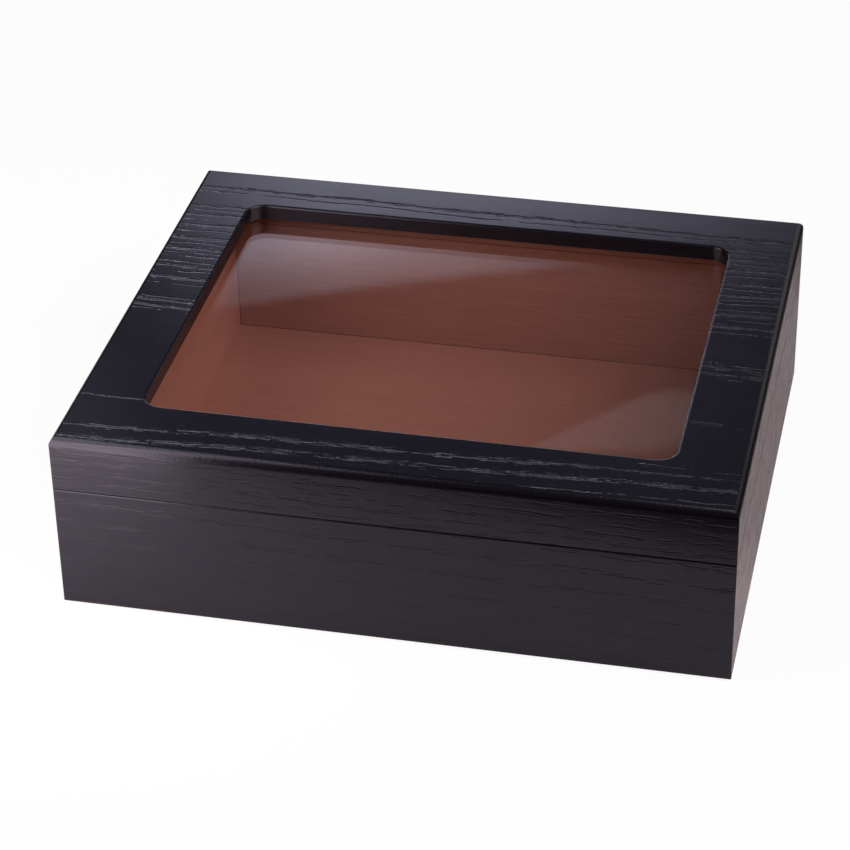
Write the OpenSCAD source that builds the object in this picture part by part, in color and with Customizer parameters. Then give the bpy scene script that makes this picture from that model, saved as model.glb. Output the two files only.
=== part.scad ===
// Glass-topped display box with a hinged lid.
// The origin is on the underside of the felt, at the centre of the wooden
// footprint. +X is to the right, +Y to the back (the hinge side), +Z up.

/* [Case] */
// Outside width, left to right
case_w = 260; // [230:1:300]
// Outside depth, front to back, without the hinges
case_d = 219; // [190:1:250]
// Height of the closed wooden case, without the felt
case_h = 75; // [70:1:100]
// Height of the seam between base and lid, above the bottom of the wood
seam_h = 52; // [35:1:52]
// Thickness of the veneered walls of the base
wall_t = 12; // [12:0.5:15]
// Thickness of the bottom board, let into a rebate
bottom_t = 3; // [2:0.5:5]
// Width of the rebate that holds the bottom board
rebate_w = 6; // [4:0.5:8]
// Radius on the upright corners of the case
corner_r = 0.5; // [0.2:0.1:2]
// Thickness of the felt under the base
felt_t = 1; // [0.5:0.1:2]
// Distance of the felt from the edges of the base
felt_inset = 2; // [1:0.5:6]

/* [Lid] */
// Thickness of the top panel
top_t = 6.5; // [6:0.5:8]
// Thickness of the lid's rails, a little less than the walls to clear the lip
rail_t = 11.5; // [10.5:0.1:11.6]
// Radius of the rounding on the front and back edges of the top
edge_r = 4; // [3:0.5:4.5]
// Depth by which the top's roundings are set down, which leaves a crisp arris
edge_set = 0.3; // [0.1:0.1:0.5]
// Radius of the rounding on the left and right edges of the top
side_edge_r = 4; // [3:0.5:4.5]
// Radius on the base's upper edge at the seam
seam_base_r = 0.6; // [0.1:0.05:0.8]
// Radius on the lid's lower edge at the seam
seam_lid_r = 0.35; // [0.1:0.05:0.8]

/* [Window] */
// Width of the frame at the left and at the right of the window
frame_side = 27.5; // [24:0.5:40]
// Width of the frame in front of the window
frame_front = 29.5; // [24:0.5:40]
// Width of the frame behind the window
frame_back = 28.5; // [24:0.5:40]
// Radius of the window's corners
window_r = 8; // [5:0.5:15]
// Radius of the rounding on the window's upper edge
window_edge_r = 1; // [0.4:0.1:1.5]
// Thickness of the glass
glass_t = 3; // [2:0.5:4]
// Play between the glass and the rails
glass_play = 0.5; // [0.3:0.1:1]
// Thickness of the bedding seal between glass and frame
seal_t = 0.5; // [0.3:0.1:1]
// Width of the bedding seal
seal_w = 6; // [4:0.5:8]

/* [Lining] */
// Thickness of the cedar lining of the base
liner_t = 4; // [3:0.5:5]
// Thickness of the cedar floor
floor_t = 1.5; // [1:0.5:3]
// Height of the lining's lip above the seam
lip_h = 5; // [3:0.5:6]
// Chamfer on the outer edge of the lip
lip_chamfer = 0.8; // [0.3:0.1:1.5]
// Gap between the lip and the lining of the lid
lip_gap = 0.3; // [0.2:0.1:1]

/* [Hinges] */
// Distance of each hinge's middle from the middle of the box
hinge_x = 80; // [50:1:85]
// Length of a hinge
hinge_l = 38; // [34:1:44]
// Width of a leaf, measured inwards from the back face
leaf_w = 10; // [9.5:0.1:10.2]
// Thickness of a leaf
leaf_t = 1.2; // [1:0.1:1.5]
// Radius of the knuckles
knuckle_r = 2.3; // [2.2:0.1:2.6]
// Radius of the hinge pin
pin_r = 1.1; // [0.8:0.1:1.3]
// Angle at which the hinge's stops meet
stop_angle = 96; // [90:1:105]
// Spacing of the screws along a leaf
screw_pitch = 13; // [11:0.5:14]

/* [Hidden] */

fine = 96;   // segments of the round shapes
over = 1;    // how far a cutter runs past what it cuts

ash = [0.13, 0.12, 0.15];
cedar = [0.55, 0.30, 0.22];
brass = [0.78, 0.62, 0.30];

// Levels above the surface that the box stands on
wood_z = felt_t;
seam_z = wood_z + seam_h;
top_z = wood_z + case_h;
panel_z = top_z - top_t;                // underside of the top panel
glass_z = panel_z - seal_t - glass_t;   // underside of the glass
floor_z = wood_z + bottom_t;            // underside of the cedar floor
liner_z = floor_z + floor_t;            // foot of the wall lining
lip_z = seam_z + lip_h;                 // top of the lip

inner_t = wall_t + liner_t;             // from an outer face to a lining's face
lid_liner_t = inner_t - rail_t;

window_w = case_w - 2 * frame_side;
window_d = case_d - frame_front - frame_back;
window_y = (frame_front - frame_back) / 2;

pivot_y = case_d / 2 + knuckle_r + 0.1; // the knuckles just clear the back face
leaf_drop = 0.1;                        // how far a leaf is sunk below its rim
knuckle_gap = 0.3;                      // end play beside the middle knuckle
knuckle_clear = 0.25;                   // air round the other leaf's knuckle
middle_l = hinge_l / 3;                 // length of the middle knuckle
pin_play_tight = 0.02;                  // the pin in the base's knuckles
pin_play_loose = 0.05;                  // the pin in the lid's knuckle
pin_head_r = 1.7;
pin_head_t = 0.5;
lip_reach = 4.3;                        // outer radius of the stop lips
lip_plate_t = 1;

screw_y = case_d / 2 - leaf_w / 2;
screw_r = 1;
screw_head_r = 1.9;
screw_head_h = 0.9;
screw_l = 8;
screw_play = 0.05;
slot_w = 0.5;
slot_depth = 0.45;

// ---------------------------------------------------------------- shapes

// A rectangle with rounded corners, centred
module rounded_rect(w, d, r) {
    square([w - 2 * r, d], center = true);
    square([w, d - 2 * r], center = true);
    for (x = [-1, 1], y = [-1, 1])
        translate([x * (w / 2 - r), y * (d / 2 - r)])
            circle(r = r, $fn = fine);
}

// The part of a square corner that a rounding of radius r takes away.
// The sharp corner is at the origin and the body lies at +X +Y.
module corner_waste(r) {
    difference() {
        translate([-over, -over]) square(r + over);
        translate([r, r]) circle(r = r, $fn = fine);
    }
}

// A flat slab with its lower face at z
module slab(w, d, t, z) {
    translate([-w / 2, -d / 2, z]) cube([w, d, t]);
}

// The whole case's outline as a prism from z0 to z1
module outline(z0, z1) {
    translate([0, 0, z0])
        linear_extrude(height = z1 - z0)
            rounded_rect(case_w, case_d, corner_r);
}

// Turns a section drawn as (inwards, upwards) into a bar along one side.
// The side faces -Y; half is the distance from the centre to its outer face.
module side_bar(length, half) {
    translate([length / 2, -half, 0])
        rotate([90, 0, -90])
            mirror([1, 0, 0])
                linear_extrude(height = length) children();
}

// Places a bar made for the front on another side: 0 front, 1 right, 2 back, 3 left
module on_side(n) {
    rotate(90 * n) children();
}

// Distance from the centre to the outer face of side n, and half its length
function half_of(n) = n % 2 == 0 ? case_d / 2 : case_w / 2;
function run_of(n) = n % 2 == 0 ? case_w : case_d;

// A wedge that cuts a front bar of thickness t to mitred ends
module mitre_wedge(n, t) {
    run = run_of(n) / 2;
    half = half_of(n);
    linear_extrude(height = top_z + over)
        polygon([[-run, -half], [run, -half], [run - t, -half + t], [-run + t, -half + t]]);
}

// ---------------------------------------------------------------- base

module base_wall_section() {
    difference() {
        translate([0, wood_z]) square([wall_t, seam_h]);
        translate([wall_t - rebate_w, wood_z - over]) square([rebate_w + over, bottom_t + over]);
        translate([0, seam_z]) mirror([0, 1]) corner_waste(seam_base_r);
    }
}

module base_wall(n) {
    intersection() {
        on_side(n) intersection() {
            side_bar(run_of(n), half_of(n)) base_wall_section();
            mitre_wedge(n, wall_t);
        }
        outline(wood_z, seam_z);
    }
}

module base_front_panel() color(ash) base_wall(0);
module base_right_panel() color(ash) base_wall(1);
module base_left_panel() color(ash) base_wall(3);

// The back panel is mortised for the hinge leaves and drilled for their screws
module base_back_panel() color(ash) difference() {
    base_wall(2);
    for (side = [-1, 1]) {
        leaf_mortise(side, -1);
        screw_holes(side, -1, screw_r + screw_play);
    }
}

module bottom_board() color([0.35, 0.27, 0.2])
    slab(case_w - 2 * (wall_t - rebate_w), case_d - 2 * (wall_t - rebate_w), bottom_t, wood_z);

module base_felt() color([0.1, 0.1, 0.11])
    linear_extrude(height = felt_t)
        rounded_rect(case_w - 2 * felt_inset, case_d - 2 * felt_inset, 3);

module floor_liner() color(cedar)
    slab(case_w - 2 * wall_t, case_d - 2 * wall_t, floor_t, floor_z);

module base_liner_section() {
    difference() {
        translate([wall_t, liner_z]) square([liner_t, lip_z - liner_z]);
        translate([wall_t, lip_z])
            polygon([[-over, over], [-over, -lip_chamfer - over],
                     [0, -lip_chamfer], [lip_chamfer, 0], [lip_chamfer + over, over]]);
    }
}

// The front and back linings run from wall to wall, the others fit between them
module base_liner(n) color(cedar) {
    shortening = n % 2 == 0 ? wall_t : inner_t;
    on_side(n) side_bar(run_of(n) - 2 * shortening, half_of(n)) base_liner_section();
}

module base_liner_front() base_liner(0);
module base_liner_right() base_liner(1);
module base_liner_back() base_liner(2);
module base_liner_left() base_liner(3);

// ---------------------------------------------------------------- lid

module lid_rail_section() {
    difference() {
        translate([0, seam_z]) square([rail_t, panel_z - seam_z]);
        translate([0, seam_z]) corner_waste(seam_lid_r);
    }
}

module lid_rail(n) {
    intersection() {
        on_side(n) intersection() {
            side_bar(run_of(n), half_of(n)) lid_rail_section();
            mitre_wedge(n, rail_t);
        }
        outline(seam_z, panel_z);
    }
}

module lid_front_rail() color(ash) lid_rail(0);
module lid_right_rail() color(ash) lid_rail(1);
module lid_left_rail() color(ash) lid_rail(3);

module lid_back_rail() color(ash) difference() {
    lid_rail(2);
    for (side = [-1, 1]) {
        leaf_mortise(side, 1);
        screw_holes(side, 1, screw_r + screw_play);
    }
}

// The top's section from outer edge to outer edge, rounded at both ends.
// set lowers the rounding's centre line so that it meets the top at an angle.
module top_section(length, r, set) {
    difference() {
        translate([-length / 2, panel_z]) square([length, top_t]);
        for (end = [0, 1])
            mirror([end, 0])
                translate([-length / 2, top_z + set])
                    mirror([0, 1]) corner_waste(r);
    }
}

// What the rounding on the window's upper edge takes away
module window_edge_waste() {
    r = window_edge_r;
    module waste() translate([0, top_z]) mirror([0, 1]) corner_waste(r);
    module along(length, offset)
        translate([0, offset, 0])
            rotate([90, 0, 90])
                translate([0, 0, -length / 2])
                    linear_extrude(height = length) waste();
    straight_w = window_w - 2 * window_r;
    straight_d = window_d - 2 * window_r;
    along(straight_w, window_d / 2);
    mirror([0, 1, 0]) along(straight_w, window_d / 2);
    rotate(-90) along(straight_d, window_w / 2);
    rotate(90) along(straight_d, window_w / 2);
    for (x = [-1, 1], y = [-1, 1])
        translate([x * straight_w / 2, y * straight_d / 2, 0])
            rotate_extrude($fn = fine)
                translate([window_r, 0]) waste();
}

module lid_top_panel() color(ash) difference() {
    intersection() {
        rotate([90, 0, 90])
            translate([0, 0, -case_w / 2])
                linear_extrude(height = case_w) top_section(case_d, edge_r, edge_set);
        rotate([90, 0, 0])
            translate([0, 0, -case_d / 2])
                linear_extrude(height = case_d) top_section(case_w, side_edge_r, edge_set);
        outline(panel_z, top_z);
    }
    translate([0, window_y, panel_z - over])
        linear_extrude(height = top_t + 2 * over) rounded_rect(window_w, window_d, window_r);
    translate([0, window_y, 0]) window_edge_waste();
}

module window_glass() color([0.8, 0.9, 0.9, 0.35])
    slab(case_w - 2 * (rail_t + glass_play), case_d - 2 * (rail_t + glass_play), glass_t, glass_z);

// A flat ring between the glass and the frame, set back from the window's edge
module glass_seal() color([0.08, 0.08, 0.08]) {
    setback = 1.5;
    inner_w = window_w + 2 * setback;
    inner_d = window_d + 2 * setback;
    translate([0, window_y, panel_z - seal_t])
        linear_extrude(height = seal_t) difference() {
            rounded_rect(inner_w + 2 * seal_w, inner_d + 2 * seal_w, window_r + seal_w);
            rounded_rect(inner_w, inner_d, window_r);
        }
}

// Cedar strips round the inside of the lid, which hold the glass up
module lid_liner(n) color(cedar) {
    shortening = n % 2 == 0 ? rail_t : inner_t;
    on_side(n) side_bar(run_of(n) - 2 * shortening, half_of(n))
        translate([rail_t, lip_z + lip_gap])
            square([lid_liner_t, glass_z - lip_z - lip_gap]);
}

module lid_liner_front() lid_liner(0);
module lid_liner_right() lid_liner(1);
module lid_liner_back() lid_liner(2);
module lid_liner_left() lid_liner(3);

// ---------------------------------------------------------------- hinges
// side is -1 for the left hinge and 1 for the right one.
// way is -1 for the base's leaf, below the seam, and 1 for the lid's leaf.

module at_pivot(side) translate([side * hinge_x, pivot_y, seam_z]) children();

// A bar along X between x0 and x1, with its section drawn as (Y, Z) from the pivot
module along_x(x0, x1) {
    translate([x0, 0, 0]) rotate([90, 0, 90]) linear_extrude(height = x1 - x0) children();
}

module x_cylinder(r, x0, x1) {
    translate([x0, 0, 0]) rotate([0, 90, 0]) cylinder(r = r, h = x1 - x0, $fn = fine);
}

module leaf_mortise(side, way) {
    z0 = way < 0 ? seam_z - leaf_drop - leaf_t : seam_z - over;
    z1 = way < 0 ? seam_z + over : seam_z + leaf_drop + leaf_t;
    translate([side * hinge_x - hinge_l / 2, case_d / 2 - leaf_w, z0])
        cube([hinge_l, leaf_w + over, z1 - z0]);
}

// Places something at each screw of a leaf, pointing away from the seam
module at_screws(side, way) {
    for (i = [-1, 0, 1])
        translate([side * hinge_x + i * screw_pitch, screw_y, seam_z + way * leaf_drop])
            mirror([0, 0, way < 0 ? 1 : 0]) children();
}

module screw_holes(side, way, r) {
    at_screws(side, way) translate([0, 0, -over]) cylinder(r = r, h = screw_l + over, $fn = fine);
}

module countersink(play) {
    cylinder(r1 = screw_head_r + play, r2 = screw_r + play, h = screw_head_h, $fn = fine);
}

// The stretches of the hinge that a leaf's own knuckles take up
function knuckle_spans(way) = way < 0
    ? [[-hinge_l / 2, -middle_l / 2], [middle_l / 2, hinge_l / 2]]
    : [[-middle_l / 2 + knuckle_gap, middle_l / 2 - knuckle_gap]];

// The stretches that a leaf leaves free for the other leaf's knuckles
function free_spans(way) = way < 0
    ? [[-middle_l / 2, middle_l / 2]]
    : [[-hinge_l / 2 - over, -middle_l / 2 + knuckle_gap],
       [middle_l / 2 - knuckle_gap, hinge_l / 2 + over]];

// The stop lip's face is a radial plane; the two faces meet at the stop angle
module stop_lip_section(way) {
    rotate(way * stop_angle / 2)
        translate([pin_r, way < 0 ? -lip_plate_t : 0])
            square([lip_reach - pin_r, lip_plate_t]);
}

module leaf_plate_section(way) {
    plate_y = case_d / 2 - leaf_w - pivot_y;
    translate([plate_y, way < 0 ? -leaf_drop - leaf_t : leaf_drop])
        square([-plate_y, leaf_t]);
}

module leaf(side, way) color(brass) {
    bore_r = pin_r + (way < 0 ? pin_play_tight : pin_play_loose);
    difference() {
        at_pivot(side) difference() {
            union() {
                along_x(-hinge_l / 2, hinge_l / 2) {
                    leaf_plate_section(way);
                    stop_lip_section(way);
                }
                for (span = knuckle_spans(way)) x_cylinder(knuckle_r, span[0], span[1]);
            }
            for (span = free_spans(way))
                x_cylinder(knuckle_r + knuckle_clear, span[0], span[1]);
            x_cylinder(bore_r, -hinge_l, hinge_l);
        }
        at_screws(side, way) {
            translate([0, 0, -over])
                cylinder(r = screw_r + screw_play, h = leaf_t + 2 * over, $fn = fine);
            countersink(screw_play);
        }
    }
}

module left_hinge_base_leaf() leaf(-1, -1);
module right_hinge_base_leaf() leaf(1, -1);
module left_hinge_lid_leaf() leaf(-1, 1);
module right_hinge_lid_leaf() leaf(1, 1);

// A pin with a peened head at each end
module hinge_pin(side) color([0.7, 0.55, 0.27]) at_pivot(side) {
    x_cylinder(pin_r, -hinge_l / 2 - pin_head_t, hinge_l / 2 + pin_head_t);
    for (end = [-1, 1])
        translate([end * hinge_l / 2, 0, 0])
            rotate([0, end * 90, 0])
                cylinder(r1 = pin_head_r, r2 = pin_r, h = pin_head_t, $fn = fine);
}

module left_hinge_pin() hinge_pin(-1);
module right_hinge_pin() hinge_pin(1);

// A countersunk wood screw with a cross recess; its head is at z = 0
module screw() difference() {
    union() {
        countersink(0);
        cylinder(r = screw_r, h = screw_l - screw_r, $fn = fine);
        translate([0, 0, screw_l - screw_r]) cylinder(r1 = screw_r, r2 = 0.1, h = screw_r, $fn = fine);
    }
    for (turn = [0, 90])
        rotate(turn)
            translate([-screw_r, -slot_w / 2, -over])
                cube([2 * screw_r, slot_w, slot_depth + over]);
}

module hinge_screws(way) color([0.72, 0.58, 0.3])
    for (side = [-1, 1]) at_screws(side, way) screw();

module base_hinge_screws() hinge_screws(-1);
module lid_hinge_screws() hinge_screws(1);

// ---------------------------------------------------------------- nodes

base_front_panel();
base_back_panel();
base_left_panel();
base_right_panel();
bottom_board();
base_felt();
floor_liner();
base_liner_front();
base_liner_back();
base_liner_left();
base_liner_right();
lid_top_panel();
lid_front_rail();
lid_back_rail();
lid_left_rail();
lid_right_rail();
window_glass();
glass_seal();
lid_liner_front();
lid_liner_back();
lid_liner_left();
lid_liner_right();
left_hinge_base_leaf();
right_hinge_base_leaf();
left_hinge_lid_leaf();
right_hinge_lid_leaf();
left_hinge_pin();
right_hinge_pin();
base_hinge_screws();
lid_hinge_screws();
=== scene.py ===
import math

import bmesh
import bpy
from mathutils import Matrix, Vector, noise


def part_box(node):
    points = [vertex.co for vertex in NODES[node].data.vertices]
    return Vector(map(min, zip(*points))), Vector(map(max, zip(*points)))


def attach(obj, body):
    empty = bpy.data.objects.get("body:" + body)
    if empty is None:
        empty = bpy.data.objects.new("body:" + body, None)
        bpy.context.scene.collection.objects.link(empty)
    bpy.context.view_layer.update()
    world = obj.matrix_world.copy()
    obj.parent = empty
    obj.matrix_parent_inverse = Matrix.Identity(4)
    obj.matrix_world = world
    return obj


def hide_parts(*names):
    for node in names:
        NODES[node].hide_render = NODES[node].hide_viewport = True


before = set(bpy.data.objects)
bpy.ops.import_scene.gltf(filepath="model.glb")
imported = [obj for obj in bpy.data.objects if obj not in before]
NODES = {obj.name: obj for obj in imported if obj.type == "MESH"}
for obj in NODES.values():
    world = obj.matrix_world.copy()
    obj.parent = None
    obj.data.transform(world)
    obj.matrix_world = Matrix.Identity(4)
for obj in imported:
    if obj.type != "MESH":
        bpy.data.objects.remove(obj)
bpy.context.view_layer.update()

MM = 0.001

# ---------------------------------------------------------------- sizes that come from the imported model
front_lo, front_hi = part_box("base_front_panel")
top_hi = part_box("lid_top_panel")[1]
felt_lo, felt_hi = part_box("base_felt")
HALF_W = top_hi.x / MM
HALF_D = top_hi.y / MM
TOP_Z = top_hi.z / MM
BOTTOM_Z = front_lo.z / MM
SEAM_Z = front_hi.z / MM
LINING_X = -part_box("base_liner_left")[1].x / MM          # inner faces of the lining
LINING_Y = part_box("base_liner_back")[0].y / MM
LINING_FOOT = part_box("floor_liner")[1].z / MM
LINING_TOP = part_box("base_liner_back")[1].z / MM


# ---------------------------------------------------------------- small helpers for building node trees
class Tree:
    """Builds a node tree in short calls. A value is a number, a tuple or another node's output."""

    def __init__(self, tree):
        self.tree = tree
        tree.nodes.clear()

    def put(self, socket, value):
        if isinstance(value, bpy.types.NodeSocket):
            self.tree.links.new(value, socket)
        elif value is not None:
            socket.default_value = value

    def node(self, kind, settings=(), **inputs):
        made = self.tree.nodes.new(kind)
        for name, value in dict(settings).items():
            setattr(made, name, value)
        for name, value in inputs.items():
            self.put(made.inputs[name.replace("_", " ")], value)
        return made

    def math(self, operation, *values, clamp=False):
        made = self.tree.nodes.new("ShaderNodeMath")
        made.operation = operation
        made.use_clamp = clamp
        for socket, value in zip(made.inputs, values):
            self.put(socket, value)
        return made.outputs[0]

    def add(self, *values):
        total = values[0]
        for value in values[1:]:
            total = self.math("ADD", total, value)
        return total

    def mul(self, *values):
        total = values[0]
        for value in values[1:]:
            total = self.math("MULTIPLY", total, value)
        return total

    def sub(self, a, b):
        return self.math("SUBTRACT", a, b)

    def most(self, *values):
        total = values[0]
        for value in values[1:]:
            total = self.math("MAXIMUM", total, value)
        return total

    def least(self, *values):
        total = values[0]
        for value in values[1:]:
            total = self.math("MINIMUM", total, value)
        return total

    def fade(self, value, at_0, at_1):
        """0 where value is at_0, 1 where it is at_1, smooth between."""
        made = self.node("ShaderNodeMapRange", {"interpolation_type": "SMOOTHSTEP"}, Value=value)
        self.put(made.inputs["From Min"], at_0)
        self.put(made.inputs["From Max"], at_1)
        return made.outputs[0]

    def blend(self, share, a, b):
        """a where share is 0, b where it is 1, for numbers."""
        made = self.tree.nodes.new("ShaderNodeMix")
        made.data_type = "FLOAT"
        self.put(made.inputs[0], share)
        self.put(made.inputs[2], a)
        self.put(made.inputs[3], b)
        return made.outputs[0]

    def colour(self, share, a, b, way="MIX"):
        """a where share is 0, b where it is 1, for colours."""
        made = self.tree.nodes.new("ShaderNodeMix")
        made.data_type = "RGBA"
        made.blend_type = way
        self.put(made.inputs[0], share)
        for socket, value in ((made.inputs[6], a), (made.inputs[7], b)):
            self.put(socket, (*value, 1.0) if isinstance(value, tuple) else value)
        return made.outputs[2]

    def vector(self, x=0.0, y=0.0, z=0.0):
        return self.node("ShaderNodeCombineXYZ", X=x, Y=y, Z=z).outputs[0]

    def noise(self, vector, scale=1.0, detail=2.0, rough=0.5, distortion=0.0):
        made = self.node("ShaderNodeTexNoise", Vector=vector, Scale=scale, Detail=detail,
                         Roughness=rough, Distortion=distortion)
        return made.outputs[0]

    def place(self):
        """The three coordinates of the point in the row frame, in millimetres."""
        where = self.node("ShaderNodeTexCoord").outputs["Object"]
        scaled = self.node("ShaderNodeVectorMath", {"operation": "SCALE"}, Vector=where)
        scaled.inputs["Scale"].default_value = 1.0 / MM
        parts = self.node("ShaderNodeSeparateXYZ", Vector=scaled.outputs[0])
        return parts.outputs[0], parts.outputs[1], parts.outputs[2]

    def seen(self):
        """1 for what the camera sees directly or through the glass, 0 for light and reflections."""
        rays = self.node("ShaderNodeLightPath").outputs
        unbounced = self.math("LESS_THAN", self.add(rays["Diffuse Depth"], rays["Glossy Depth"]), 0.5)
        return self.most(rays["Is Camera Ray"], self.mul(rays["Is Transmission Ray"], unbounced))

    def bump(self, height, strength=1.0):
        """The normal of a surface with this relief, in millimetres."""
        made = self.node("ShaderNodeBump", Height=height, Strength=strength, Distance=MM)
        return made.outputs[0]


def new_material(name):
    made = bpy.data.materials.new(name)
    made.use_nodes = True
    return made, Tree(made.node_tree)


def surface(tree, colour, rough, normal=None, **settings):
    """A Principled shader with these inputs; the settings are plain numbers or colours."""
    shader = tree.tree.nodes.new("ShaderNodeBsdfPrincipled")
    tree.put(shader.inputs["Base Color"], (*colour, 1.0) if isinstance(colour, tuple) else colour)
    tree.put(shader.inputs["Roughness"], rough)
    if normal is not None:
        tree.put(shader.inputs["Normal"], normal)
    for name, value in settings.items():
        tree.put(shader.inputs[name.replace("_", " ")], value)
    return shader


def finish_material(tree, shader):
    out = tree.tree.nodes.new("ShaderNodeOutputMaterial")
    tree.tree.links.new(shader.outputs[0], out.inputs["Surface"])


# ---------------------------------------------------------------- black-stained ash veneer
# Growth rings that cross the top, as distance from the middle towards the back, in millimetres.
BOLD_RINGS = (91, 77.5, 69.5, 60.5, 50, 41.5, 26.5, 17, -8, -12, -92.5, -100.5)
FAINT_RINGS = (87, 73.5, 65, 56, 46, 38, 35, 30, 22, 12, -5, -15.5, -108.5)
RAIL_RING = -80.5                       # shows on the side rails of the frame alone
SHORT_LINES_X, SHORT_LINES_Y = 110.0, -52.9         # middle of two short lines on the right rail

# Stain in dark fibre and in light fibre.
SIDE_STAIN = (0.0028, 0.0024, 0.0042), (0.0045, 0.0039, 0.0065)
TOP_STAIN = (0.0072, 0.0076, 0.0124), (0.0092, 0.0096, 0.0150)
# Grey filler in the pores, lightened past it as a painted glint of the light that the groove walls catch.
PORE_GREY_AND_GLINT = (0.040, 0.038, 0.046)
RUBBED_WOOD = (0.040, 0.022, 0.015)


class Veneer:
    """The pattern of the ash veneer on the outside of the box, as outputs in a material's node tree."""

    def __init__(self, tree):
        self.t = t = tree
        self.x, self.y, self.z = t.place()
        self.where = t.vector(self.x, self.y, self.z)
        self.ax, self.ay = t.math("ABSOLUTE", self.x), t.math("ABSOLUTE", self.y)
        near = 0.02                     # how far from a plane a point still counts as on it
        self.on_top = t.math("GREATER_THAN", self.z, TOP_Z - near)
        self.off_top = t.sub(1.0, self.on_top)
        self.on_side = t.mul(t.math("GREATER_THAN", self.ax, HALF_W - near), self.off_top)
        on_front = t.mul(t.math("GREATER_THAN", self.ay, HALF_D - near), self.off_top)
        self.on_lid = t.math("GREATER_THAN", self.z, SEAM_Z)
        # 1 on the flat faces, 0 on the roundings and on every cut edge
        self.flat = t.math("ADD", t.add(self.on_top, self.on_side), on_front, clamp=True)
        self.back_half = t.mul(self.on_top, t.fade(self.y, -20.0, 10.0))

        self.u = t.blend(self.on_side, self.x, self.y)          # along the grain
        self.v = t.blend(self.on_top, self.z, self.y)           # across it
        # each face has its own place in the noise
        self.seed = t.add(t.mul(on_front, t.add(17.0, t.mul(9.0, t.math("SIGN", self.y)))),
                          t.mul(self.on_side, t.add(41.0, t.mul(7.0, t.math("SIGN", self.x)))))
        self.fibre = self.grain(22.0, 0.28, 31.0, detail=3.0, rough=0.6)
        self.streak = self.grain(70.0, 0.55, 77.0, detail=2.0, rough=0.6)

        # the coordinate across the grain wanders: slowly, then in short waves, then raggedly
        slow = self.swing(2.6, 95.0, 45.0, detail=1.0)
        self.waves = self.swing(1.0, 14.0, 7.0, 3.0, detail=2.0, rough=0.6)
        ragged = self.swing(0.55, 2.8, 3.2, 6.0, detail=3.0, rough=0.65)
        self.centre = t.add(t.sub(self.v, t.mul(self.u, self.slope())), slow, self.waves)
        self.across = t.add(self.centre, t.mul(ragged, t.blend(self.on_top, 0.4, 1.0)))

    def grain(self, step_u, step_v, shift=0.0, **settings):
        """Noise stretched along the grain, with features of about these sizes."""
        t = self.t
        where = t.vector(t.mul(self.u, 1.0 / step_u), t.mul(self.v, 1.0 / step_v), t.add(self.seed, shift))
        return t.noise(where, **settings)

    def swing(self, size, *args, **settings):
        """The same noise, from about -size to size."""
        return self.t.mul(self.t.sub(self.grain(*args, **settings), 0.5), 2.0 * size)

    def slope(self):
        """How the rings lean on the top: near its front edge, in front, behind, and near its back edge."""
        t, v = self.t, self.v
        lean = t.blend(t.fade(v, -90.0, -84.0), 0.040, t.blend(t.fade(v, -2.0, 13.0), -0.038, 0.015))
        return t.mul(t.sub(lean, t.mul(t.fade(v, 78.0, 87.0), 0.035)), self.on_top)

    def nearest(self, value, rings):
        """Distance to the nearest of the rings."""
        gaps = [self.t.math("ABSOLUTE", self.t.sub(value, float(ring))) for ring in rings]
        return self.t.least(*gaps)

    def to_bold(self, value):
        """Distance to the nearest bold ring. Off the top they are evenly spaced and slant a little."""
        t = self.t
        slant = t.mul(self.u, t.blend(self.on_side, 0.028, 0.010))
        step = t.blend(self.on_side, t.blend(self.on_lid, 9.0, 4.6), 3.0)
        spaced = t.math("PINGPONG", t.add(value, slant), t.mul(step, 0.5))
        return t.blend(self.on_top, spaced, self.nearest(value, BOLD_RINGS))

    def line(self, gap, width):
        """1 on a ring, falling to nothing in about this many millimetres."""
        near = self.t.math("DIVIDE", gap, width)
        return self.t.math("EXPONENT", self.t.mul(near, near, -1.0))

    def grooves(self):
        """Open lines along the rings: long ones towards the back of the top, pieces elsewhere."""
        t = self.t
        breaks = self.grain(17.0, 4.5, 9.0, detail=3.0, rough=0.65)
        least = t.blend(self.back_half, 0.46, 0.33)
        is_open = t.fade(breaks, least, t.add(least, 0.08))
        bold_gap = self.to_bold(self.across)
        groove = t.mul(self.line(bold_gap, 0.32), is_open)
        # the groove's doubles on either side, with their own breaks
        twin_gap = t.math("ABSOLUTE", t.sub(bold_gap, 1.05))
        twin_breaks = self.grain(12.0, 3.5, 15.0, detail=3.0, rough=0.65)
        twin = t.mul(self.line(twin_gap, 0.24), t.fade(twin_breaks, 0.50, 0.57), 0.8)
        # faint rings, on the top alone
        drift = self.swing(1.4, 34.0, 9.0, 60.0, detail=1.0)
        faint_gap = t.blend(self.on_top, 9.0, self.nearest(t.add(self.across, drift), FAINT_RINGS))
        faint_open = t.fade(breaks, t.blend(self.back_half, 0.46, 0.40), 0.54)
        faint = t.mul(self.line(faint_gap, 0.26), faint_open, 0.8)
        rail = t.mul(self.line(self.nearest(self.across, (RAIL_RING,)), 0.30),
                     t.fade(self.ax, 88.0, 95.0), self.on_top, is_open)
        return t.most(groove, twin, faint, rail, self.short_lines())

    def short_lines(self):
        """Two short lines, 1.5 mm apart, on the right rail."""
        t = self.t
        off_x = t.math("ABSOLUTE", t.sub(self.x, SHORT_LINES_X))
        off_y = t.math("ABSOLUTE", t.sub(self.v, SHORT_LINES_Y))
        pair = self.line(t.math("PINGPONG", t.sub(self.v, SHORT_LINES_Y + 0.7), 0.75), 0.24)
        return t.mul(pair, t.fade(off_y, 1.1, 0.9), t.fade(off_x, 6.5, 5.0), self.on_top, 0.8)

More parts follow.
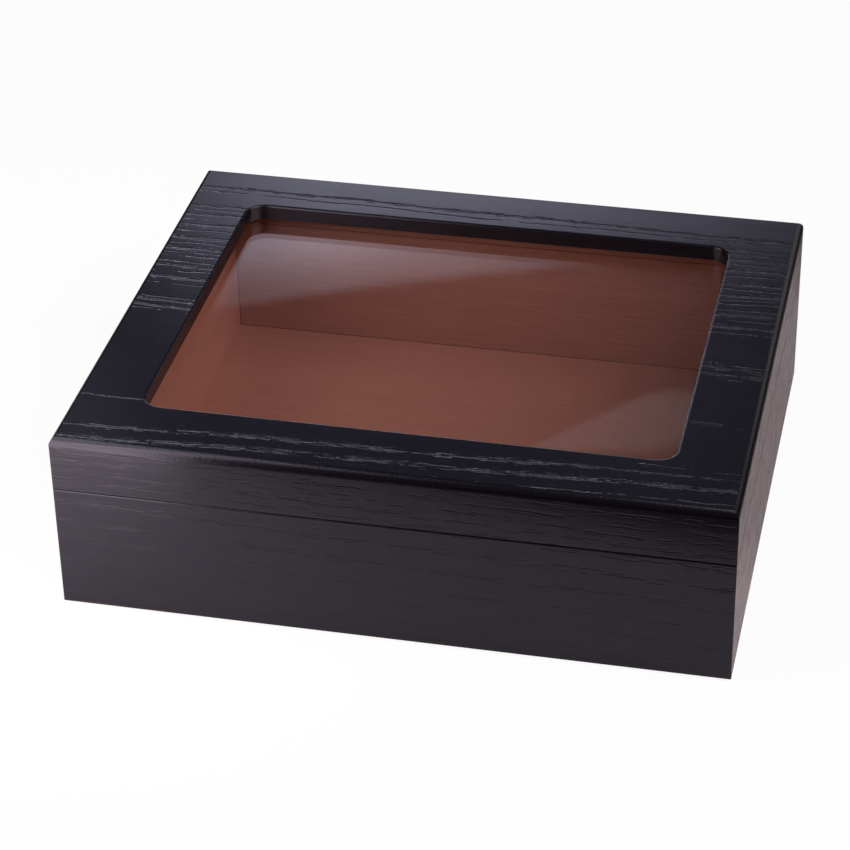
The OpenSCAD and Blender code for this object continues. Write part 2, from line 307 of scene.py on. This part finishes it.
    def dashes(self):
        """Short dashes that crowd round each ring and braid into one another, and a few stray ones."""
        t = self.t
        crowd = self.line(self.to_bold(self.centre), t.blend(self.on_top, 1.3, 0.95))
        along = t.mul(self.u, t.blend(self.on_top, 1 / 20.0, 1 / 6.5))
        aside = t.mul(t.add(self.v, t.mul(self.u, 0.035), self.waves),
                      t.blend(self.on_top, 1 / 0.36, 1 / 0.50))
        marks = t.noise(t.vector(along, aside, t.add(self.seed, 11.0)), detail=2.0, rough=0.55)
        few = t.blend(self.on_top, t.blend(self.on_lid, 0.60, 0.64), 0.56)
        lively = t.fade(self.grain(38.0, 6.0, 5.0, detail=1.0), 0.42, 0.60)
        shown = t.mul(t.fade(marks, few, t.add(few, 0.06)), crowd, t.blend(self.back_half, lively, 0.35))
        # the middle band of the top has long lines and hardly a dash
        in_band = t.mul(self.on_top, t.fade(t.math("ABSOLUTE", t.add(self.v, 10.5)), 15.0, 11.0))
        shown = t.mul(shown, t.sub(1.0, t.mul(in_band, 0.8)))
        stray = t.fade(self.grain(8.0, 0.45, 23.0, detail=1.0), 0.74, 0.80)
        return t.most(shown, t.mul(stray, t.blend(self.on_top, 0.5, 0.25)))

    def pores(self):
        """How open the grain is, from 0 to 1: most on the top, and nowhere off the flat faces."""
        t = self.t
        strength = t.blend(self.on_top, t.blend(self.on_side, t.blend(self.on_lid, 0.42, 0.28), 0.55), 1.0)
        return t.mul(t.most(self.grooves(), self.dashes()), self.flat, strength)

    def rub(self):
        """Wear: a thin paler rub along the upright edges and the foot, in patches."""
        t = self.t
        to_upright = t.most(t.sub(HALF_W, self.ax), t.sub(HALF_D, self.ay))
        edge = t.most(t.fade(to_upright, 0.75, 0.15), t.fade(t.sub(self.z, BOTTOM_Z), 0.9, 0.1))
        patchy = t.fade(t.noise(self.where, scale=0.09, detail=3.0, rough=0.6), 0.40, 0.62)
        return t.mul(edge, patchy)

    def relief(self, pores):
        """Softly uneven lacquer with the pores cut in; the roundings, sanded bare, are finely stippled."""
        t = self.t
        level = t.add(t.mul(self.grain(55.0, 20.0, 47.0, detail=1.0), 0.05),
                      t.mul(self.fibre, self.flat, t.blend(self.on_top, 0.020, 0.008)),
                      t.mul(self.streak, self.flat, self.on_side, 0.02))
        speck = t.noise(self.where, scale=1.1, detail=3.0, rough=0.65)
        return t.add(level, t.mul(pores, t.blend(self.on_top, -0.13, -0.17)),
                     t.mul(speck, t.blend(self.flat, 0.085, 0.004)))

    def stain_and_glint(self, pores, rub):
        t = self.t
        tone = t.fade(self.fibre, 0.3, 0.7)
        colour = t.colour(self.on_top, t.colour(tone, *SIDE_STAIN), t.colour(tone, *TOP_STAIN))
        # the pores grey with filler and partly a painted glint, most on the top
        colour = t.colour(t.mul(pores, t.blend(self.on_top, 0.22, 0.65)), colour, PORE_GREY_AND_GLINT)
        return t.colour(t.mul(rub, 0.7), colour, RUBBED_WOOD)

    def roughness(self, pores, rub):
        t = self.t
        cloudy = t.noise(self.where, scale=0.05, detail=2.0)
        even = t.blend(self.flat, 0.22, t.blend(self.on_top, 0.15, 0.090))
        return t.add(even, t.mul(t.sub(cloudy, 0.5), 0.03),
                     t.mul(t.sub(self.streak, 0.5), self.on_side, 0.10), t.mul(pores, 0.30), t.mul(rub, 0.18))

    def gloss(self, pores):
        """The lacquer's shine. The pores hold less of it, and the edges of the seam hardly any."""
        t = self.t
        even = t.sub(0.5, t.mul(pores, t.blend(self.on_top, 0.26, 0.09)))
        uneven = t.mul(t.sub(t.add(self.streak, self.fibre), 1.0), t.blend(self.on_side, 0.20, 0.50),
                       self.off_top)
        in_seam = t.fade(t.math("ABSOLUTE", t.sub(self.z, SEAM_Z + 0.12)), 0.32, 0.14)
        return t.most(t.sub(t.add(even, uneven), t.mul(in_seam, 0.5)), 0.0)


def make_ash():
    mat, t = new_material("black_ash_veneer")
    wood = Veneer(t)
    pores, rub = wood.pores(), wood.rub()
    shader = surface(t, wood.stain_and_glint(pores, rub), wood.roughness(pores, rub), t.bump(wood.relief(pores)),
                     IOR=1.55, Specular_IOR_Level=wood.gloss(pores), Specular_Tint=(0.78, 0.85, 1.0, 1.0))
    finish_material(t, shader)
    return mat


# ---------------------------------------------------------------- cedar lining
def make_cedar(name, along, dark, light, shift):
    """along is the axis the grain runs in, 0 for X and 1 for Y."""
    mat, t = new_material(name)
    axes = t.place()
    others = [axes[i] for i in range(3) if i != along]
    length = axes[along]

    def grain(step_long, step_across, seed, **settings):
        where = t.vector(t.add(t.mul(length, 1.0 / step_long), seed + shift),
                         t.mul(others[0], 1.0 / step_across), t.mul(others[1], 1.0 / step_across))
        return t.noise(where, **settings)

    bands = grain(200.0, 0.9, 3.0, detail=2.0, rough=0.6)       # fine straight growth lines
    fibre = grain(14.0, 0.42, 9.0, detail=2.0, rough=0.6)
    broad = grain(400.0, 11.0, 15.0, detail=1.0)
    fleck = t.fade(grain(4.0, 0.30, 21.0, detail=1.0), 0.68, 0.78)
    clouds = t.noise(t.vector(*axes), scale=0.016, detail=1.0)
    tone = t.math("ADD", t.add(t.mul(t.sub(bands, 0.5), 0.6), t.mul(t.sub(fibre, 0.5), 1.0)),
                  t.add(0.5, t.mul(t.sub(broad, 0.5), 0.25), t.mul(t.sub(clouds, 0.5), 0.35)), clamp=True)
    colour = t.colour(tone, dark, light)
    colour = t.colour(t.mul(fleck, 0.42), colour, tuple(0.5 * c for c in dark))
    # the joints of the lining show as thin dark lines: in its corners, and where the ends meet the floor
    x, y, z = axes
    to_side = t.sub(LINING_X, t.math("ABSOLUTE", x))
    in_base = t.fade(z, LINING_TOP, LINING_TOP - 0.4)
    on_end = t.math("GREATER_THAN", t.math("ABSOLUTE", y), LINING_Y - 0.02)
    corner = t.mul(t.fade(to_side, 0.50, 0.28), on_end, in_base)
    foot = t.mul(t.fade(z, LINING_FOOT + 0.50, LINING_FOOT + 0.25), on_end)
    joint = t.most(corner, foot)
    worn = t.fade(t.noise(t.vector(x, y, z), scale=0.12, detail=2.0), 0.30, 0.55)
    colour = t.colour(t.mul(joint, t.add(0.35, t.mul(worn, 0.35))), colour, tuple(0.12 * c for c in dark))
    relief = t.add(t.mul(fibre, 0.018), t.mul(bands, 0.02), t.mul(fleck, -0.03))
    rough = t.add(0.52, t.mul(t.sub(fibre, 0.5), 0.2), t.mul(fleck, 0.1))
    shader = surface(t, colour, rough, t.bump(relief), IOR=1.45)
    finish_material(t, shader)
    return mat


# ---------------------------------------------------------------- the smaller materials
def make_glass():
    """Clear glass with faint wipe marks, which lets light and shadows straight through."""
    mat, t = new_material("window_glass")
    x, y, z = t.place()
    wipe = t.noise(t.vector(t.add(x, y), t.mul(t.sub(x, y), 0.3), z), scale=0.05, detail=3.0)
    rough = t.mul(t.fade(wipe, 0.45, 0.8), 0.03)
    shader = surface(t, (0.985, 0.993, 0.988), rough, IOR=1.5, Transmission_Weight=1.0)
    clear = t.node("ShaderNodeBsdfTransparent", Color=(0.93, 0.94, 0.935, 1.0)).outputs[0]
    rays = t.node("ShaderNodeLightPath").outputs
    soft = t.node("ShaderNodeMixShader")
    t.put(soft.inputs[0], rays["Is Diffuse Ray"])
    t.put(soft.inputs[1], shader.outputs[0])
    t.put(soft.inputs[2], clear)
    lit = t.node("ShaderNodeMixShader")
    t.put(lit.inputs[0], rays["Is Shadow Ray"])
    t.put(lit.inputs[1], soft.outputs[0])
    t.put(lit.inputs[2], clear)
    finish_material(t, lit)
    return mat


def make_brass(name, bright, rough_at):
    mat, t = new_material(name)
    x, y, z = t.place()
    brushed = t.noise(t.vector(t.mul(x, 0.25), t.mul(y, 6.0), t.mul(z, 6.0)), detail=3.0, rough=0.6)
    cloud = t.noise(t.vector(x, y, z), scale=0.25, detail=3.0, rough=0.6)
    dull = t.fade(cloud, 0.42, 0.70)
    colour = t.colour(dull, bright, tuple(0.55 * c for c in bright))
    rough = t.add(rough_at, t.mul(brushed, 0.16), t.mul(dull, 0.14))
    relief = t.add(t.mul(brushed, 0.008), t.mul(cloud, 0.006))
    finish_material(t, surface(t, colour, rough, t.bump(relief), Metallic=1.0))
    return mat


def make_speckled(name, dark, light, grain_mm, rough_at, relief_mm):
    """Fibreboard and rubber: a fine speckle with its own relief."""
    mat, t = new_material(name)
    x, y, z = t.place()
    where = t.vector(x, y, z)
    fine = t.noise(where, scale=1.0 / grain_mm, detail=4.0, rough=0.65)
    broad = t.noise(where, scale=0.04, detail=2.0)
    tone = t.math("ADD", t.add(0.5, t.mul(t.sub(fine, 0.5), 2.2)),
                  t.mul(t.sub(broad, 0.5), 0.8), clamp=True)
    rough = t.add(rough_at, t.mul(t.sub(fine, 0.5), 0.25))
    finish_material(t, surface(t, t.colour(tone, dark, light), rough, t.bump(t.mul(fine, relief_mm))))
    return mat


def make_felt():
    mat, t = new_material("felt")
    x, y, z = t.place()
    where = t.vector(x, y, z)
    hair = t.noise(where, scale=1.6, detail=5.0, rough=0.75, distortion=1.2)
    curl = t.noise(where, scale=0.55, detail=3.0, rough=0.6, distortion=2.0)
    pressed = t.noise(where, scale=0.03, detail=2.0)
    tone = t.math("ADD", t.add(0.5, t.mul(t.sub(hair, 0.5), 1.8)), t.sub(pressed, 0.5), clamp=True)
    colour = t.colour(tone, (0.010, 0.010, 0.012), (0.036, 0.036, 0.042))
    relief = t.add(t.mul(hair, 0.16), t.mul(curl, 0.14))
    rough = t.add(0.86, t.mul(t.sub(hair, 0.5), 0.2))
    finish_material(t, surface(t, colour, rough, t.bump(relief), Sheen_Weight=0.35, Sheen_Roughness=0.5))
    return mat


CEDAR_DARK, CEDAR_LIGHT = (0.282, 0.114, 0.073), (0.443, 0.203, 0.138)

ash = make_ash()
cedar_x = make_cedar("cedar_along_x", 0, CEDAR_DARK, CEDAR_LIGHT, 0.0)
cedar_y = make_cedar("cedar_along_y", 1, CEDAR_DARK, CEDAR_LIGHT, 50.0)
glass = make_glass()
brass = make_brass("brass_leaf", (0.78, 0.57, 0.27), 0.20)
brass_pin = make_brass("brass_pin", (0.80, 0.60, 0.30), 0.16)
brass_screw = make_brass("brass_screw", (0.74, 0.52, 0.24), 0.26)
board = make_speckled("fibreboard", (0.13, 0.085, 0.050), (0.26, 0.18, 0.115), 0.9, 0.80, 0.05)
rubber = make_speckled("seal_rubber", (0.008, 0.008, 0.009), (0.018, 0.018, 0.020), 0.5, 0.55, 0.01)
felt_cloth = make_felt()


def finish_for(name):
    """The material of a CAD node, by its name."""
    if name == "window_glass":
        return glass
    if name == "glass_seal":
        return rubber
    if name == "bottom_board":
        return board
    if name.endswith("_screws"):
        return brass_screw
    if name.endswith("_pin"):
        return brass_pin
    if name.endswith("_leaf"):
        return brass
    if "liner" in name:
        return cedar_y if name.endswith(("_left", "_right")) else cedar_x
    return ash


def soften(obj, width):
    """Eased edges on a CAD node, as modifiers only. Its vertices are split at the edges, so they
    are welded first."""
    weld = obj.modifiers.new("weld", "WELD")
    weld.merge_threshold = 0.00001
    bevel = obj.modifiers.new("ease", "BEVEL")
    bevel.width = width
    bevel.segments = 2
    bevel.limit_method = "ANGLE"
    bevel.angle_limit = math.radians(35)


CEDAR_EASE = 0.12 * MM

for name, obj in NODES.items():
    if name == "base_felt":
        continue
    for slot in obj.material_slots:
        slot.material = finish_for(name)
    if "liner" in name:
        for face in obj.data.polygons:
            face.use_smooth = False
        soften(obj, CEDAR_EASE)


# ---------------------------------------------------------------- the felt under the base
FELT_CORNER = 3.0 * MM
FELT_STEP = 4.0 * MM
FELT_THICK = felt_hi.z - felt_lo.z


def felt_lines(low, high):
    """Grid lines from low to high, close together in the corners' radius."""
    near = [FELT_CORNER * k / 4 for k in range(4)]
    inner = high - low - 2 * FELT_CORNER
    count = max(1, round(inner / FELT_STEP))
    middle = [FELT_CORNER + inner * k / count for k in range(count + 1)]
    return [low + d for d in near + middle] + [high - d for d in reversed(near)]


def rounded(px, py):
    """The same point, with the sheet's corner squares pulled in to quarter discs."""
    cx = min(max(px, felt_lo.x + FELT_CORNER), felt_hi.x - FELT_CORNER)
    cy = min(max(py, felt_lo.y + FELT_CORNER), felt_hi.y - FELT_CORNER)
    a, b = px - cx, py - cy
    if abs(a) < 1e-9 or abs(b) < 1e-9:
        return px, py
    pull = max(abs(a), abs(b)) / math.hypot(a, b)
    return cx + a * pull, cy + b * pull


def felt_point(px, py, upper, at_edge):
    """A point on the sheet's upper or lower side. The lower side is uneven and lifts at the edge."""
    qx, qy = rounded(px, py)
    where = Vector((qx, qy, 0.0)) / MM
    if at_edge:                         # the knife's edge isn't quite straight
        fray = 0.10 * MM * (1 + noise.noise(where * 0.35)) / 2
        qx -= math.copysign(fray, qx)
        qy -= math.copysign(fray, qy)
    if upper:
        return qx, qy, felt_hi.z - 0.01 * FELT_THICK
    wobble = 0.5 + 0.5 * noise.noise(where * 0.11)
    lift = 0.02 + 0.05 * wobble + (0.12 if at_edge else 0.0)
    return qx, qy, felt_lo.z + lift * FELT_THICK


def make_felt_sheet():
    """A cut sheet of felt, glued flat: a grid with rounded corners, about as thick as its CAD solid."""
    xs, ys = felt_lines(felt_lo.x, felt_hi.x), felt_lines(felt_lo.y, felt_hi.y)
    nx, ny = len(xs), len(ys)
    bm = bmesh.new()

    def layer(upper):
        return [[bm.verts.new(felt_point(px, py, upper, i in (0, nx - 1) or j in (0, ny - 1)))
                 for i, px in enumerate(xs)] for j, py in enumerate(ys)]

    low, high = layer(False), layer(True)
    for j in range(ny - 1):
        for i in range(nx - 1):
            bm.faces.new((low[j][i], low[j + 1][i], low[j + 1][i + 1], low[j][i + 1]))
            bm.faces.new((high[j][i], high[j][i + 1], high[j + 1][i + 1], high[j + 1][i]))
    rim = [(0, i) for i in range(nx)] + [(j, nx - 1) for j in range(1, ny)]
    rim += [(ny - 1, i) for i in range(nx - 2, -1, -1)] + [(j, 0) for j in range(ny - 2, 0, -1)]
    for (j0, i0), (j1, i1) in zip(rim, rim[1:] + rim[:1]):
        bm.faces.new((low[j0][i0], low[j1][i1], high[j1][i1], high[j0][i0]))
    bmesh.ops.recalc_face_normals(bm, faces=bm.faces)
    mesh = bpy.data.meshes.new("felt_sheet")
    bm.to_mesh(mesh)
    bm.free()
    for face in mesh.polygons:
        face.use_smooth = abs(face.normal.z) > 0.5
    made = bpy.data.objects.new("felt_sheet", mesh)
    bpy.context.scene.collection.objects.link(made)
    made.data.materials.append(felt_cloth)
    return made


felt = make_felt_sheet()
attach(felt, "base")
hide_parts("base_felt")


# ---------------------------------------------------------------- floor
# Reflections see the floor's light and shade painted on it: a lit white sheet that ends near the box, on
# painted dark. Each of its soft edges is given as where the sheet is gone and where it is whole, in
# millimetres.
SHEET_FRONT = (-225.0, -203.0)
SHEET_SKEW = 0.17                       # how much the front edge runs back towards the right
SHEET_BACK = (290.0, 150.0)
SHEET_RIGHT = (205.0, 180.0)
SHEET_PAINTED_SHADE = 0.73                       # painted shadow of the box: the sheet's tone towards the back, where the box stands
# painted floor tones for reflections: the lit white, and the painted shade beyond it
WHITE, FLOOR_PAINTED_DARK = (0.86, 0.86, 0.86), (0.06, 0.06, 0.06)
FLOOR_GLOW, GLOW_SHARE = 1.05, 0.88     # the camera sees a floor that is nearly all even white


def make_floor():
    reach = 20.0
    mesh = bpy.data.meshes.new("floor")
    mesh.from_pydata([(-reach, -reach, 0), (reach, -reach, 0), (reach, reach, 0), (-reach, reach, 0)],
                     [], [(0, 1, 2, 3)])
    made = bpy.data.objects.new("floor", mesh)
    bpy.context.scene.collection.objects.link(made)
    mat, t = new_material("studio_floor")
    x, y, _ = t.place()
    # the floor's tone by place: painted light and shade, seen only in reflections
    sheet = t.mul(t.fade(t.sub(y, t.mul(x, SHEET_SKEW)), *SHEET_FRONT),
                  t.fade(y, *SHEET_BACK), t.fade(x, *SHEET_RIGHT))
    # painted shadow of the box: the floor darker from its middle towards the back
    sheet = t.mul(sheet, t.blend(t.fade(y, 5.0, -60.0), SHEET_PAINTED_SHADE, 1.0))
    seen = t.seen()
    paper = surface(t, t.colour(t.most(sheet, seen), FLOOR_PAINTED_DARK, WHITE), 0.9, Specular_IOR_Level=0.0)
    bright = t.node("ShaderNodeEmission", Color=(1.0, 1.0, 1.0, 1.0), Strength=FLOOR_GLOW)
    shown = t.node("ShaderNodeMixShader")
    t.put(shown.inputs[0], t.mul(seen, GLOW_SHARE))
    t.put(shown.inputs[1], paper.outputs[0])
    t.put(shown.inputs[2], bright.outputs[0])
    finish_material(t, shown)
    made.data.materials.append(mat)


make_floor()

# ---------------------------------------------------------------- studio light, painted on the surroundings
# Directions are an angle round from +Y, positive towards +X, and a height above the horizon, in degrees.
# Each box: middle, left, softness, right, softness, low, softness, high, softness, colour, strength.
SOFT_BOXES = [
    (0, -181, 1, 181, 1, 9, 6, 91, 6, (0.045, 0.044, 0.055), 1.0),      # the room's walls and ceiling
    (100, -24, 14, 32, 14, 20, 8, 60, 8, (1.0, 0.78, 0.80), 3.3),       # soft box on the right
    (-23, -3, 2, 3, 3, 30.5, 1.5, 37, 2, (0.20, 0.20, 0.22), 1.0),      # a faint glow behind on the left
]
# the white backdrop behind on the left, which gives the veil on the glass
BACKDROP = (-16, -1.3, 6, 10.5, 13, 9, 4, 30.5, 0.3, (1.0, 0.95, 1.16), 1.50)
BACKDROP_DIMS = (30.5, 28.8, 0.24)      # full up to the second height, this share of it at the first
BACKDROP_LEAN = 0.085                   # its upper edge drops this much for each degree to the right
# a pale card behind, whose sides move this much to the left for each degree up
CARD = (-8.9, 0.0, 0.6, 3.2, 1.0, 32.4, 0.3, 33.6, 0.3, (0.200, 0.170, 0.195), 1.0)
CARD_SLANT = 2.5
SLANT_FROM = 33.0                       # the height at which a slanting side is where it is said to be


class Sky:
    """Radiance by direction, for the world's shader."""

    def __init__(self, tree):
        self.t = t = tree
        where = t.node("ShaderNodeTexCoord").outputs["Generated"]
        parts = t.node("ShaderNodeSeparateXYZ", Vector=where)
        self.x, self.y = parts.outputs[0], parts.outputs[1]
        self.height = t.mul(t.math("ARCSINE", parts.outputs[2]), 180.0 / math.pi)
        self.total = None

    def box(self, middle, left, left_soft, right, right_soft, low, low_soft, high, high_soft,
            colour, strength, share=None, lean=0.0, slant=0.0):
        """lean lowers the box towards the right, slant moves it left with height, and share is a
        function of the height that dims it."""
        t = self.t

        def edge(value, at, soft):
            return t.fade(value, at - soft / 2, at + soft / 2)

        c, s = math.cos(math.radians(middle)), math.sin(math.radians(middle))
        aside = t.math("ARCTAN2", t.sub(t.mul(self.x, c), t.mul(self.y, s)),
                       t.add(t.mul(self.x, s), t.mul(self.y, c)))
        aside = t.mul(aside, 180.0 / math.pi)
        height = t.add(self.height, t.mul(aside, lean))
        aside = t.add(aside, t.mul(t.sub(self.height, SLANT_FROM), slant))
        inside = t.mul(edge(aside, left, left_soft), edge(aside, right, -right_soft),
                       edge(height, low, low_soft), edge(height, high, -high_soft), strength)
        if share:
            inside = t.mul(inside, share(height))
        tinted = t.node("ShaderNodeVectorMath", {"operation": "SCALE"})
        tinted.inputs[0].default_value = colour
        t.put(tinted.inputs["Scale"], inside)
        self.include(tinted.outputs[0])

    def include(self, value):
        if self.total is not None:
            both = self.t.node("ShaderNodeVectorMath", {"operation": "ADD"})
            self.t.put(both.inputs[0], self.total)
            self.t.put(both.inputs[1], value)
            value = both.outputs[0]
        self.total = value


def make_world():
    world = bpy.data.worlds.new("studio")
    bpy.context.scene.world = world
    world.use_nodes = True
    t = Tree(world.node_tree)
    sky = Sky(t)
    for box in SOFT_BOXES:
        sky.box(*box)
    top, full, least = BACKDROP_DIMS

    def dims(height):
        return t.blend(t.fade(height, top, full), least, 1.0)

    sky.box(*BACKDROP, share=dims, lean=BACKDROP_LEAN)
    sky.box(*CARD, slant=CARD_SLANT)
    shown = t.node("ShaderNodeMix", {"data_type": "RGBA"})
    t.put(shown.inputs[0], t.seen())
    t.put(shown.inputs[6], sky.total)
    t.put(shown.inputs[7], (1.0, 1.0, 1.0, 1.0))
    back = t.node("ShaderNodeBackground", Color=shown.outputs[2], Strength=1.0)
    out = t.node("ShaderNodeOutputWorld")
    t.put(out.inputs["Surface"], back.outputs[0])
    world.cycles.sampling_method = "MANUAL"
    world.cycles.sample_map_resolution = 2048


make_world()

# Soft boxes and cards that stand close: name, place and aim in metres, height, width, radiance.
LAMPS = [
    ("soft_wall_front_left", (-0.325, -0.262, 0.10), (-0.495, 0.738, 0.10), 0.20, 0.42, (4.9, 3.8, 3.9)),
    ("soft_box_over_left", (-0.24, -0.22, 0.34), (-0.12, -0.10, 0.05), 0.16, 0.30, (2.5, 1.95, 2.0)),
    ("soft_roof_left", (-0.35, -0.15, 0.50), (-0.10, -0.05, 0.03), 0.30, 0.30, (0.5, 0.7, 0.85)),
    ("soft_roof_right", (0.25, -0.20, 0.55), (0.0, -0.02, 0.03), 0.30, 0.30, (3.1, 2.5, 2.5)),
    ("pale_card_behind", (-0.47, 0.82, 0.29), (0.10, 0.0, 0.076), 0.20, 0.30, (1.9, 1.85, 2.2)),
    ("grey_card_right", (0.33, 0.50, 0.17), (0.13, 0.0, 0.076), 0.22, 0.30, (0.40, 0.37, 0.36)),
]


def make_lamp(name, place, aim, height, width, radiance):
    """An area lamp with this radiance, which the camera doesn't see."""
    data = bpy.data.lights.new(name, "AREA")
    data.shape = "RECTANGLE"
    data.size, data.size_y = width, height
    peak = max(radiance)
    data.color = [value / peak for value in radiance]
    data.energy = peak * math.pi * width * height
    made = bpy.data.objects.new(name, data)
    bpy.context.scene.collection.objects.link(made)
    made.location = place
    made.rotation_mode = "QUATERNION"
    made.rotation_quaternion = (Vector(aim) - Vector(place)).to_track_quat("-Z", "Y")
    made.visible_camera = False


for lamp in LAMPS:
    make_lamp(*lamp)


# ---------------------------------------------------------------- camera
TURN, HEIGHT, ROLL = (math.radians(angle) for angle in (12.794, 33.099, -1.056))
DISTANCE, ASIDE, ABOVE = 1.1898, -0.00994, 0.02256          # from the middle of the foot, in its own axes
LENS = 122.57


def make_camera():
    """The camera stands at the photo's viewing angle; its line of sight passes close to the middle."""
    middle = Vector((0.0, 0.0, front_lo.z))
    back = Vector((math.sin(TURN) * math.cos(HEIGHT), -math.cos(TURN) * math.cos(HEIGHT), math.sin(HEIGHT)))
    right = (-back).cross(Vector((0, 0, 1))).normalized()
    up = right.cross(-back)
    r = math.cos(ROLL) * right + math.sin(ROLL) * up
    u = -math.sin(ROLL) * right + math.cos(ROLL) * up
    data = bpy.data.cameras.new("camera")
    data.sensor_width = 36.0
    data.lens = LENS
    data.clip_start, data.clip_end = 0.05, 100.0
    cam = bpy.data.objects.new("camera", data)
    bpy.context.scene.collection.objects.link(cam)
    place = Matrix((r, u, back)).transposed().to_4x4()
    place.translation = middle + back * DISTANCE + r * ASIDE + u * ABOVE
    cam.matrix_world = place
    bpy.context.scene.camera = cam


make_camera()

scene = bpy.context.scene
scene.view_settings.view_transform = "Standard"
scene.view_settings.look = "None"
scene.cycles.use_denoising = True
scene.cycles.max_bounces = 12
scene.cycles.diffuse_bounces = 5
scene.cycles.glossy_bounces = 5
scene.cycles.transmission_bounces = 10
scene.cycles.transparent_max_bounces = 12
scene.cycles.caustics_reflective = False
scene.cycles.caustics_refractive = False
scene.cycles.sample_clamp_indirect = 8.0
